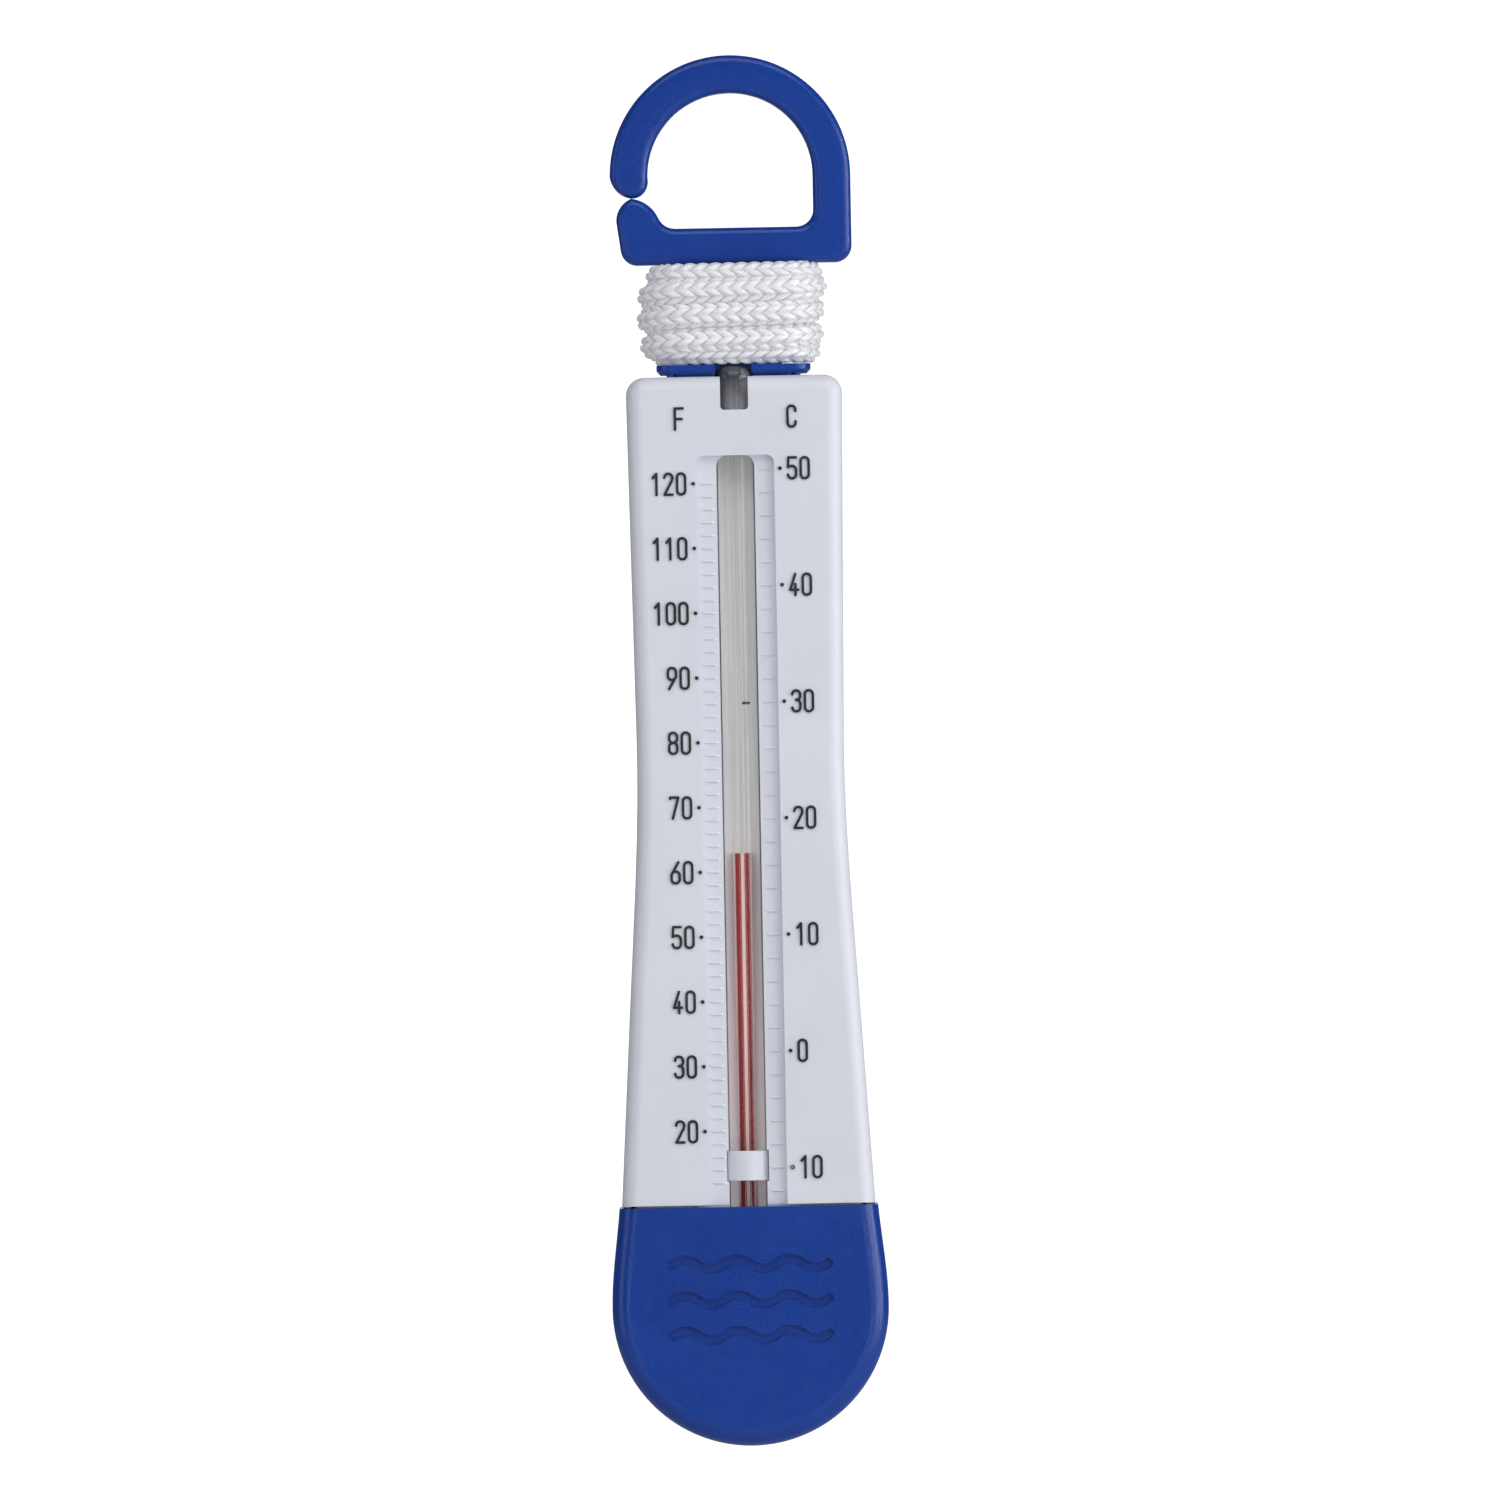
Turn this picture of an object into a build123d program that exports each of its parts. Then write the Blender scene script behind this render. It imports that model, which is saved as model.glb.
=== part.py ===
from build123d import *
import math
import os

# Floating pool thermometer: a white scale case with a glass spirit tube in its front channel, a blue
# weighted cap, and a blue snap clip whose neck plugs into the case and carries a wound cord.
#
# All sizes are millimetres. While a piece is being made, heights count up from the bottom of the cap,
# x runs across the scale face, and the scale face looks towards -y. save() then moves each piece down
# by EYE_HEIGHT, so that the finished frame has its origin in the middle of the clip's eye, where the
# object hangs.

# overall
TOTAL_HEIGHT = 165.1
CLIP_RADIUS = 14.3
EYE_HEIGHT = TOTAL_HEIGHT - CLIP_RADIUS

# white case, seen from the front
CASE_TOP = 126.9
CASE_BOTTOM = 28.4
TOP_HALF = 12.85
WAIST_HALF = 12.3
WAIST_HEIGHT = 84.0
FLARE_HALF = 13.6
FLARE_HEIGHT = 53.0
BASE_HALF = 15.05
CORNER_RADIUS = 2.2

# white case, front to back
CASE_HALF_DEPTH = 8.0
CASE_WALL = 1.6
CASE_EDGE_RADIUS = 1.8
FOOT_GAP = 0.25
SEAM_WIDTH = 0.2
SEAM_DEPTH = 0.2

# blue cap
CAP_RADIUS = 16.4
CAP_RIM_HALF = 15.35
CAP_FRONT = 8.3
CAP_WALL = 1.6
CAP_EDGE_RADIUS = 2.2
SPIGOT_BOTTOM = 20.0
SPIGOT_PLAY = 0.15
WAVE_HEIGHTS = (21.6, 17.4, 13.2)
WAVE_RISE = 1.1
WAVE_HALF_PITCH = 3.1
WAVE_ARCS = 6
WAVE_WIDTH = 1.15
WAVE_DEPTH = 0.45

# tube channel in the scale face
SHELF_HALF = 4.6
SHELF_DEPTH = 0.8
WINDOW_TOP = 117.5
SLOT_HALF = 2.25
SLOT_FLOOR = -1.7
SHELF_CORNER = 0.9
SLOT_CORNER = 1.3
TROUGH_HALF = 4.4
TROUGH_WALL = 1.1
NOTCH_HALF = 1.65
NOTCH_BOTTOM = 122.9
NOTCH_CORNER = 0.45

# glass tube
TUBE_Y = -4.4
TUBE_RADIUS = 2.1
TUBE_TOP = 128.1
BORE_RADIUS = 0.7
COLUMN_RADIUS = 0.65
BULB_RADIUS = 2.2
BULB_BOTTOM = 11.0
BULB_TOP = 26.0
BULB_CAVITY_RADIUS = 1.55
SPIRIT_RADIUS = 1.5
STRAP_BOTTOM = 31.5
STRAP_TOP = 35.0
STRAP_RADIUS = 3.05
STRAP_HALF = 2.4

# scales: height of one mark, and the rise of one degree
F_20_HEIGHT = 37.4
F_DEGREE = 0.768
C_MINUS_10_HEIGHT = 33.0
C_DEGREE = 1.381
READING_C = 17.0
SPIRIT_LEVEL = C_MINUS_10_HEIGHT + (READING_C + 10) * C_DEGREE
TICK_WIDTH = 0.24
TICK_RISE = 0.18
TICK_RAMP = 0.32
F_TICK_ENDS = (-4.12, -2.57)
C_TICK_ENDS = (2.84, 4.26)
F_DOT_X = -5.03
C_DOT_X = 5.3
DOT_TO_NUMBER = 0.8
DIGIT_HEIGHT = 2.8
DIGIT_WIDTH = 1.25
DIGIT_PITCH = 1.5
STROKE = 0.3
PRINT_RISE = 0.18
DOT_RADIUS = 0.22
OPEN_DOT_RADIUS = 0.26
OPEN_DOT_HOLE = 0.17

# snap clip, winding neck and plug
BAND = 4.5
CLIP_HALF_DEPTH = 2.5
CLIP_EDGE_RADIUS = 0.9
BAR_BOTTOM = 140.3
BAR_TOP = 144.6
HINGE_ANGLE = 60.0
TIP_GAP = 0.3
TIP_SKEW = 0.4
NECK_HALF_WIDTH = 5.8
NECK_HALF_DEPTH = 2.0
FLANGE_HALF_WIDTH = 9.15
FLANGE_HALF_DEPTH = 6.5
FLANGE_BOTTOM = 127.2
FLANGE_TOP = 128.3
FLANGE_FOOT_X = 7.5
FLANGE_FOOT_Y = 5.3
COLLAR_HALF_WIDTH = 7.3
COLLAR_FRONT = -5.4
COLLAR_BACK = 2.2
PLUG_BOTTOM = 118.0
PLUG_HALF_WIDTH = 7.0
PLUG_FRONT = -0.4
PLAY = 0.15
FRONT_SLOT = 2.13

# cord
CORD_DIAMETER = 3.0
CORD_LAYERS = 2
CORD_LAYER_PITCH = 2.75
CORD_HOLE_Y = 4.9
CORD_HOLE_RADIUS = 1.75
KNOT_BOTTOM = 109.5
KNOT_TOP = 114.0
END_HOLE_X = 3.4
END_HOLE_HEIGHT = 129.9

os.makedirs("parts", exist_ok=True)


def save(name, shape):
    """Write one piece, moved so that the origin is in the middle of the clip's eye."""
    export_step(Pos(0, 0, -EYE_HEIGHT) * shape, f"parts/{name}.step")


def slab(face, front, back):
    """Give an outline, drawn as x across and height up, its depth from y = front to y = back."""
    return extrude(Plane.XZ.offset(-back) * face, amount=back - front)


def block(x, y, z):
    """A box between two corners, each argument giving its lower and upper limit."""
    middle = Pos((x[0] + x[1]) / 2, (y[0] + y[1]) / 2, (z[0] + z[1]) / 2)
    return middle * Box(x[1] - x[0], y[1] - y[0], z[1] - z[0])


def upright(radius, y, bottom, top, x=0.0):
    """A round bar that stands on end."""
    return Pos(x, y, (bottom + top) / 2) * Cylinder(radius, top - bottom)


def rounded_block(x, y, z, radius):
    """A box whose upright edges are rounded."""
    shape = block(x, y, z)
    return fillet(shape.edges().filter_by(Axis.Z), radius)


# ---------------------------------------------------------------- outlines


def mirrored_face(side):
    """Close a right-hand side, drawn from bottom to top, with its mirror image."""
    left = mirror(side, about=Plane.YZ)
    floor = Line(left @ 0, side @ 0)
    roof = Line(left @ 1, side @ 1)
    return make_face([side, left, floor, roof])


def case_face(inset, bottom, top):
    """The case from the front: near parallel above the waist, then flaring to the cap."""
    lower_slope = (BASE_HALF - FLARE_HALF) / (CASE_BOTTOM - FLARE_HEIGHT)
    upper_slope = (TOP_HALF - WAIST_HALF) / (CASE_TOP - WAIST_HEIGHT)
    flare = Vector(FLARE_HALF - inset, FLARE_HEIGHT)
    waist = Vector(WAIST_HALF - inset, WAIST_HEIGHT)
    foot = Vector(flare.X + (bottom - FLARE_HEIGHT) * lower_slope, bottom)
    head = Vector(waist.X + (top - WAIST_HEIGHT) * upper_slope, top)
    bend = Spline(flare, waist, tangents=[flare - foot, head - waist])
    side = Wire([Line(foot, flare).edge(), bend.edge(), Line(waist, head).edge()])
    return mirrored_face(side)


def cap_face(inset, top):
    """The cap from the front: a half round below, easing in to the width of the case."""
    radius = CAP_RADIUS - inset
    bottom = Vector(0, inset)
    side_low = Vector(radius, CAP_RADIUS)
    between = Vector(radius * math.sqrt(0.5), CAP_RADIUS - radius * math.sqrt(0.5))
    side_top = Vector(CAP_RIM_HALF - inset, CASE_BOTTOM)
    lean = Vector(CAP_RIM_HALF - CAP_RADIUS, CASE_BOTTOM - CAP_RADIUS)
    round_right = ThreePointArc(bottom, between, side_low)
    rise = Spline(side_low, side_top, tangents=[Vector(0, 1), lean])
    right = [round_right, rise]
    left = [mirror(line, about=Plane.YZ) for line in right]
    roof = Line(left[1] @ 1, rise @ 1)
    face = make_face(right + left + [roof])
    if top < CASE_BOTTOM:
        cut = Pos(0, top + CAP_RADIUS) * Rectangle(4 * CAP_RADIUS, 2 * CAP_RADIUS)
        face = face - cut
    return face


def channel_face(half, top, radius, bottom=SPIGOT_BOTTOM - 1):
    """A long upright slot with rounded top corners and an open bottom."""
    middle = Pos(0, (top + bottom) / 2)
    face = middle * Rectangle(2 * half, top - bottom)
    corners = face.vertices().group_by(Axis.Y)[-1]
    return fillet(corners, radius)


# ---------------------------------------------------------------- case


def case_hollow():
    """The air space inside both shells, above the cap and inside the spigot."""
    wide = slab(
        case_face(CASE_WALL, CASE_BOTTOM + FOOT_GAP + CASE_WALL, CASE_TOP - CASE_WALL),
        -CASE_HALF_DEPTH + CASE_WALL,
        CASE_HALF_DEPTH - CASE_WALL,
    )
    narrow = foot_column(CAP_WALL + SPIGOT_PLAY + CASE_WALL, SPIGOT_BOTTOM + CASE_WALL)
    return wide + narrow


def foot_column(inset, bottom):
    """A column inset from the cap's outline below the joint and from the case's just above it."""
    front = -CAP_FRONT + inset
    back = CASE_HALF_DEPTH - inset
    below = slab(cap_face(inset, CASE_BOTTOM), front, back)
    below = below & block((-30, 30), (-30, 30), (bottom, CASE_BOTTOM + 1))
    above = slab(case_face(inset, CASE_BOTTOM - 0.1, CASE_BOTTOM + FOOT_GAP + CASE_WALL + 0.1), front, back)
    return below + above


def spigot():
    """The narrow foot of both shells, which the cap slides over."""
    return foot_column(CAP_WALL + SPIGOT_PLAY, SPIGOT_BOTTOM)


def case_skin():
    """The outer shape of both shells together, with its rounded edges."""
    foot = CASE_BOTTOM + FOOT_GAP
    body = slab(case_face(0, foot, CASE_TOP), -CASE_HALF_DEPTH, CASE_HALF_DEPTH)
    corners = body.edges().filter_by(Axis.Y).group_by(Axis.Z)[-1]
    body = fillet(corners, CORNER_RADIUS)
    faces = body.faces().filter_by(Axis.Y)
    rims = [edge for face in faces for edge in face.edges()]
    rims = [edge for edge in rims if edge.center().Z > foot + 0.1]
    body = fillet(rims, CASE_EDGE_RADIUS)
    outside = Pos(0, 0, CASE_TOP / 2) * Box(60, SEAM_WIDTH, 2 * CASE_TOP)
    inside = slab(case_face(SEAM_DEPTH, foot, CASE_TOP - SEAM_DEPTH), -SEAM_WIDTH, SEAM_WIDTH)
    return body - (outside - inside)


def top_openings():
    """Holes in the roof of the case: for the clip's collar and for the cord."""
    collar = rounded_block(
        (-COLLAR_HALF_WIDTH - PLAY, COLLAR_HALF_WIDTH + PLAY),
        (COLLAR_FRONT - PLAY, COLLAR_BACK + PLAY),
        (CASE_TOP - 2 * CASE_WALL, CASE_TOP + 1),
        1.0,
    )
    cord = upright(CORD_HOLE_RADIUS, CORD_HOLE_Y, CASE_TOP - 2 * CASE_WALL, CASE_TOP + 1)
    return collar + cord


def tick_marks(first, step, count, inner, outer):
    """Short raised ridges across the shelf beside the tube, one for every two degrees."""
    face = -CASE_HALF_DEPTH + SHELF_DEPTH
    ridges = []
    for index in range(count):
        height = first + index * step
        z_span = (height - TICK_WIDTH / 2, height + TICK_WIDTH / 2)
        ridge = block((inner, outer), (face - TICK_RISE, face + 0.3), z_span)
        crest = ridge.edges().group_by(Axis.Y)[0]
        ridge = chamfer(crest.sort_by(Axis.X)[-1], TICK_RISE, TICK_RAMP)
        crest = ridge.edges().group_by(Axis.Y)[0].filter_by(Axis.X)
        ridges.append(chamfer(crest, TICK_WIDTH / 3))
    return ridges


def front_shell():
    """Front half of the case, with the tube channel, the notch above it and the tick marks."""
    front_half = block((-30, 30), (-30, 0), (0, TOTAL_HEIGHT))
    shell = (case_skin() + spigot() - case_hollow()) & front_half
    face = -CASE_HALF_DEPTH
    roof = CASE_TOP - 0.5
    pad = block((-SHELF_HALF - 1.5, SHELF_HALF + 1.5), (face + 1, face + 2.4), (CASE_BOTTOM, WINDOW_TOP + 2))
    trough = block((-TROUGH_HALF, TROUGH_HALF), (-6.0, SLOT_FLOOR + TROUGH_WALL), (SPIGOT_BOTTOM, roof))
    shell = shell + pad + trough
    shelf = slab(channel_face(SHELF_HALF, WINDOW_TOP, SHELF_CORNER), face - 1, face + SHELF_DEPTH)
    slot = slab(channel_face(SLOT_HALF, WINDOW_TOP, SLOT_CORNER), face - 1, SLOT_FLOOR)
    tunnel = block((-SLOT_HALF, SLOT_HALF), (-6.6, SLOT_FLOOR), (WINDOW_TOP - 3, CASE_TOP + 1))
    notch = block((-NOTCH_HALF, NOTCH_HALF), (face - 1, -6), (NOTCH_BOTTOM, CASE_TOP + 1))
    notch = fillet(notch.edges().filter_by(Axis.Y).group_by(Axis.Z)[0], NOTCH_CORNER)
    seat_half = STRAP_HALF + 0.08
    strap_seat = block((-seat_half, seat_half), (face - 1, -4.5), (STRAP_BOTTOM - 0.1, STRAP_TOP + 0.1))
    shell = shell - shelf - slot - tunnel - notch - strap_seat - top_openings()
    left = tick_marks(F_20_HEIGHT - 8 * F_DEGREE, 2 * F_DEGREE, 55, *F_TICK_ENDS)
    right = tick_marks(C_MINUS_10_HEIGHT - 2 * C_DEGREE, 2 * C_DEGREE, 32, *C_TICK_ENDS)
    return shell + left + right


def rear_shell():
    """Rear half of the case, with the ribs that guide the plug of the clip."""
    rear_half = block((-30, 30), (0, 30), (0, TOTAL_HEIGHT))
    shell = (case_skin() + spigot() - case_hollow()) & rear_half
    inner = CASE_HALF_DEPTH - CASE_WALL
    low = PLUG_BOTTOM - 1
    roof = CASE_TOP - 0.5
    for side in (-1, 1):
        edge = sorted((side * (PLUG_HALF_WIDTH + PLAY), side * (PLUG_HALF_WIDTH + 1.6)))
        stop = sorted((side * 3.0, side * (PLUG_HALF_WIDTH + 1.6)))
        shell = shell + block(edge, (0.2, inner + 0.5), (low, roof))
        shell = shell + block(stop, (COLLAR_BACK + PLAY, COLLAR_BACK + 1.4), (low, roof))
    return shell - top_openings()


# ---------------------------------------------------------------- cap and ballast


def wave(height):
    """The centre line of one groove: shallow arcs, up and down in turn."""
    half_span = WAVE_ARCS * WAVE_HALF_PITCH / 2
    arcs = []
    for index in range(WAVE_ARCS):
        start = (-half_span + index * WAVE_HALF_PITCH, height)
        end = (start[0] + WAVE_HALF_PITCH, height)
        crest = WAVE_RISE / 2 if index % 2 == 0 else -WAVE_RISE / 2
        middle = (start[0] + WAVE_HALF_PITCH / 2, height + crest)
        arcs.append(ThreePointArc(start, middle, end).edge())
    return Wire(arcs)


def base_cap():
    """Cup-shaped cap with three wave grooves, two ballast posts and a rest for the bulb."""
    solid = slab(cap_face(0, CASE_BOTTOM), -CAP_FRONT, CASE_HALF_DEPTH)
    faces = solid.faces().filter_by(Axis.Y)
    rims = [edge for face in faces for edge in face.edges()]
    rims = [edge for edge in rims if edge.center().Z < CASE_BOTTOM - 0.1]
    solid = fillet(rims, CAP_EDGE_RADIUS)
    hollow = slab(cap_face(CAP_WALL, CASE_BOTTOM), -CAP_FRONT + CAP_WALL, CASE_HALF_DEPTH - CAP_WALL)
    cap = solid - hollow - block((-14, 14), (-6, 5), (CASE_BOTTOM - 1, CASE_BOTTOM + 1))
    for height in WAVE_HEIGHTS:
        outline = wave(height).offset_2d(WAVE_WIDTH / 2, kind=Kind.ARC, side=Side.BOTH, closed=True)
        cap = cap - slab(Face(outline), -CAP_FRONT - 1, -CAP_FRONT + WAVE_DEPTH)
    back = CASE_HALF_DEPTH - CAP_WALL
    for x in (-7.5, 7.5):
        cap = cap + Pos(x, back - 2.6, 11) * Rot(90, 0, 0) * Cylinder(1.1, 6.2)
    rest = block((-2.6, 2.6), (-CAP_FRONT + 1, -2.0), (1.0, 8.0))
    return cap + rest


def ballast_plate():
    """Half-moon steel weight on the cap's posts, behind the bulb."""
    back = CASE_HALF_DEPTH - CAP_WALL
    outline = cap_face(CAP_WALL + 1.0, 16.0)
    plate = slab(outline, back - 3.2, back - 0.2)
    for x in (-7.5, 7.5):
        plate = plate - Pos(x, back - 2, 11) * Rot(90, 0, 0) * Cylinder(1.2, 8)
    return plate


def ballast_washers():
    """Push-on washers that hold the plate on its two posts."""
    front = CASE_HALF_DEPTH - CAP_WALL - 3.2
    washers = []
    for x in (-7.5, 7.5):
        place = Pos(x, front - 0.35, 11) * Rot(90, 0, 0)
        washers.append(place * (Cylinder(2.4, 0.6) - Cylinder(1.12, 2)))
    return Compound(children=washers)


def bulb_cushion():
    """Soft pad between the end of the bulb and its rest in the cap."""
    pad = upright(BULB_RADIUS + 0.05, TUBE_Y, 8.0, BULB_BOTTOM + 0.6)
    return pad - upright(BULB_RADIUS + 0.02, TUBE_Y, BULB_BOTTOM, BULB_BOTTOM + 2)


# ---------------------------------------------------------------- thermometer tube


def glass_stem():
    """Sealed capillary tube with its bulb at the bottom and a domed top."""
    stem = upright(TUBE_RADIUS, TUBE_Y, BULB_TOP, TUBE_TOP)
    stem = fillet(stem.edges().group_by(Axis.Z)[-1], 1.4)
    bulb = upright(BULB_RADIUS, TUBE_Y, BULB_BOTTOM, BULB_TOP + 1)
    bulb = fillet(bulb.edges().group_by(Axis.Z)[0], BULB_RADIUS - 0.1)
    bore = upright(BORE_RADIUS, TUBE_Y, BULB_TOP - 2, WINDOW_TOP + 4)
    cavity = upright(BULB_CAVITY_RADIUS, TUBE_Y, BULB_BOTTOM + 0.8, BULB_TOP - 1)
    cavity = fillet(cavity.edges().group_by(Axis.Z)[0], BULB_CAVITY_RADIUS - 0.1)
    return stem + bulb - bore - cavity


def bulb_spirit():
    """Coloured spirit that fills the bulb."""
    fill = upright(SPIRIT_RADIUS, TUBE_Y, BULB_BOTTOM + 0.9, BULB_TOP - 1.05)
    return fillet(fill.edges().group_by(Axis.Z)[0], SPIRIT_RADIUS - 0.1)


def spirit_column():
    """Thread of spirit in the bore, from the bulb up to the reading."""
    return upright(COLUMN_RADIUS, TUBE_Y, BULB_TOP - 0.95, SPIRIT_LEVEL)


def tube_strap():
    """White saddle arched across the tube, with a foot each side of the slot."""
    span = (STRAP_BOTTOM, STRAP_TOP)
    arch = upright(STRAP_RADIUS, TUBE_Y, STRAP_BOTTOM, STRAP_TOP)
    arch = arch - upright(TUBE_RADIUS + 0.05, TUBE_Y, STRAP_BOTTOM - 1, STRAP_TOP + 1)
    crown = arch & block((-STRAP_HALF, STRAP_HALF), (-9, -6.1), span)
    crown = fillet(crown.edges().group_by(Axis.Z)[-1].sort_by(Axis.Y)[0], 0.2)
    saddle = crown
    for side in (-1, 1):
        leg = sorted((side * (TUBE_RADIUS + 0.02), side * STRAP_HALF))
        saddle = saddle + block(leg, (-6.3, -4.65), span)
    return saddle


def tube_pads():
    """Two soft adhesive pads that bed the tube on the floor of its trough."""
    pads = []
    for bottom, top in ((22.0, 28.0), (118.5, 124.5)):
        pad = block((-1.7, 1.7), (TUBE_Y + 1.5, SLOT_FLOOR - 0.02), (bottom, top))
        clear = TUBE_RADIUS + 0.02 if bottom > BULB_TOP else BULB_RADIUS + 0.02
        pads.append(pad - upright(clear, TUBE_Y, bottom - 1, top + 1))
    return Compound(children=pads)


# ---------------------------------------------------------------- float


def float_foam(side):
    """Closed-cell foam that fills one side of the case beside the trough."""
    outline = case_face(CASE_WALL + 0.5, CASE_BOTTOM + FOOT_GAP + CASE_WALL + 0.3, PLUG_BOTTOM - 12)
    whole = slab(outline, -5.4, 5.9)
    inner = TROUGH_HALF + 0.5
    return whole & block(sorted((side * inner, side * 30)), (-30, 30), (0, TOTAL_HEIGHT))


# ---------------------------------------------------------------- clip


def band_arc(radius, start, end):
    """A round stretch of the clip's edge, between two angles about the middle of the eye."""
    return CenterArc((0, EYE_HEIGHT), radius, start, end - start)


def arm_face():
    """The springy bow of the clip, from the hinge line over the top to its round tip."""
    inner = CLIP_RADIUS - BAND
    outer_line = band_arc(CLIP_RADIUS, HINGE_ANGLE, 180)
    inner_line = band_arc(inner, HINGE_ANGLE, 180)
    root = Line(inner_line @ 0, outer_line @ 0)
    tip_middle = (-CLIP_RADIUS + BAND / 2 + TIP_SKEW, EYE_HEIGHT - BAND / 2)
    tip = ThreePointArc(outer_line @ 1, tip_middle, inner_line @ 1)
    return make_face([outer_line, inner_line, root, tip])


def frame_face():
    """The fixed part of the clip: right side, bottom bar and the hump that the tip meets."""
    inner = CLIP_RADIUS - BAND
    outer_line = band_arc(CLIP_RADIUS, 0, HINGE_ANGLE)
    inner_line = band_arc(inner, 0, HINGE_ANGLE)
    root = Line(inner_line @ 1, outer_line @ 1)
    hump_top = EYE_HEIGHT - BAND / 2 - TIP_GAP
    right_side = Line(outer_line @ 0, (CLIP_RADIUS, BAR_BOTTOM))
    bottom = Line(right_side @ 1, (-12.9, BAR_BOTTOM))
    left_side = Line(bottom @ 1, (-13.6, hump_top - 2.85))
    hump_left = ThreePointArc(left_side @ 1, (-13.05, hump_top - 0.95), (-11.8, hump_top))
    hump_right = ThreePointArc(hump_left @ 1, (-9.75, hump_top - 0.85), (-8.6, hump_top - 2.35))
    slope = Spline(hump_right @ 1, (-6.5, BAR_TOP), tangents=[Vector(0.5, -1), Vector(1, 0)])
    bar_top = Line(slope @ 1, (inner - 2.0, BAR_TOP))
    crook = ThreePointArc(bar_top @ 1, (inner - 0.6, BAR_TOP + 0.6), (inner, BAR_TOP + 2.0))
    inner_side = Line(crook @ 1, inner_line @ 0)
    edges = [outer_line, right_side, bottom, left_side, hump_left, hump_right, slope, bar_top, crook]
    face = make_face(edges + [inner_side, inner_line, root])
    corners = [vertex for vertex in face.vertices() if abs(vertex.Y - BAR_BOTTOM) < 0.01]
    return fillet(corners, 2.0)


def soft_slab(face):
    """The clip's thickness, with its long edges rounded except across the hinge line."""
    shape = slab(face, -CLIP_HALF_DEPTH, CLIP_HALF_DEPTH)
    angle = math.radians(HINGE_ANGLE)
    along = CLIP_RADIUS - BAND / 2
    hinge = Vector(along * math.cos(angle), 0, EYE_HEIGHT + along * math.sin(angle))
    rims = []
    for edge in shape.edges():
        middle = edge.center()
        if abs(abs(middle.Y) - CLIP_HALF_DEPTH) > 0.01:
            continue
        if (Vector(middle.X, 0, middle.Z) - hinge).length < 0.2:
            continue
        rims.append(edge)
    return fillet(rims, CLIP_EDGE_RADIUS)


def clip_arm():
    """Bow of the clip: it springs aside so that a rail or line can enter the eye."""
    return soft_slab(arm_face())


def clip_frame():
    """Clip frame, winding neck, flange and plug, which are one moulding."""
    frame = soft_slab(frame_face())
    neck = rounded_block(
        (-NECK_HALF_WIDTH, NECK_HALF_WIDTH),
        (-NECK_HALF_DEPTH, NECK_HALF_DEPTH),
        (FLANGE_TOP - 0.5, BAR_BOTTOM + 1.5),
        1.0,
    )
    flange = rounded_block(
        (-FLANGE_HALF_WIDTH, FLANGE_HALF_WIDTH),
        (-FLANGE_HALF_DEPTH, FLANGE_HALF_DEPTH),
        (FLANGE_BOTTOM, FLANGE_TOP),
        2.0,
    )
    flange = chamfer(flange.edges().group_by(Axis.Z)[0], 0.45)
    collar = rounded_block(
        (-COLLAR_HALF_WIDTH, COLLAR_HALF_WIDTH),
        (COLLAR_FRONT, COLLAR_BACK),
        (CASE_TOP - CASE_WALL, FLANGE_BOTTOM + 0.5),
        0.9,
    )
    tongue = rounded_block(
        (-PLUG_HALF_WIDTH, PLUG_HALF_WIDTH),
        (PLUG_FRONT, COLLAR_BACK),
        (PLUG_BOTTOM, FLANGE_BOTTOM),
        0.6,
    )
    clip = frame + neck + flange + collar + tongue
    for x in (-FLANGE_FOOT_X, FLANGE_FOOT_X):
        for y in (-FLANGE_FOOT_Y, FLANGE_FOOT_Y):
            clip = clip + upright(0.45, y, CASE_TOP + 0.03, FLANGE_TOP - 0.2, x)
    reach = -FLANGE_HALF_DEPTH - 1
    tube_slot = block((-SLOT_HALF, SLOT_HALF), (reach, TUBE_Y + 2.3), (PLUG_BOTTOM - 1, FLANGE_BOTTOM))
    front_slot = block((-FRONT_SLOT, FRONT_SLOT), (reach, TUBE_Y + 2.3), (PLUG_BOTTOM, FLANGE_TOP + 0.01))
    rear_slot = block((-1.9, 1.9), (3.0, FLANGE_HALF_DEPTH + 1), (FLANGE_BOTTOM - 1, FLANGE_TOP + 0.01))
    end_hole = Pos(END_HOLE_X, 0, END_HOLE_HEIGHT) * Rot(90, 0, 0) * Cylinder(1.55, 10)
    return clip - tube_slot - front_slot - rear_slot - end_hole


# ---------------------------------------------------------------- cord


def cord_winding():
    """Closed outer shape of the cord's turns round the neck."""
    growth = (CORD_LAYERS - 1) * CORD_LAYER_PITCH + CORD_DIAMETER
    half_width = NECK_HALF_WIDTH + growth
    half_depth = NECK_HALF_DEPTH + growth
    middle = Pos(0, 0, (FLANGE_TOP + BAR_BOTTOM) / 2)
    height = BAR_BOTTOM - FLANGE_TOP
    outside = extrude(RectangleRounded(2 * half_width, 2 * half_depth, half_depth - 0.3), height / 2, both=True)
    inside = extrude(
        RectangleRounded(2 * NECK_HALF_WIDTH + 0.1, 2 * NECK_HALF_DEPTH + 0.1, 1.05),
        height,
        both=True,
    )
    outside = fillet(outside.edges().filter_by(Plane.XY), CORD_DIAMETER / 2 - 0.3)
    return middle * (outside - inside)


def cord_tail():
    """Straight stretch of cord from the winding, through the roof of the case, to its knot."""
    return upright(CORD_DIAMETER / 2, CORD_HOLE_Y, KNOT_TOP, FLANGE_TOP)


def cord_knot():
    """Stopper knot inside the case, too big for the hole in the roof."""
    knot = block((-2.5, 2.5), (3.3, 6.2), (KNOT_BOTTOM, KNOT_TOP))
    return fillet(knot.edges(), 1.0)


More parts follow.
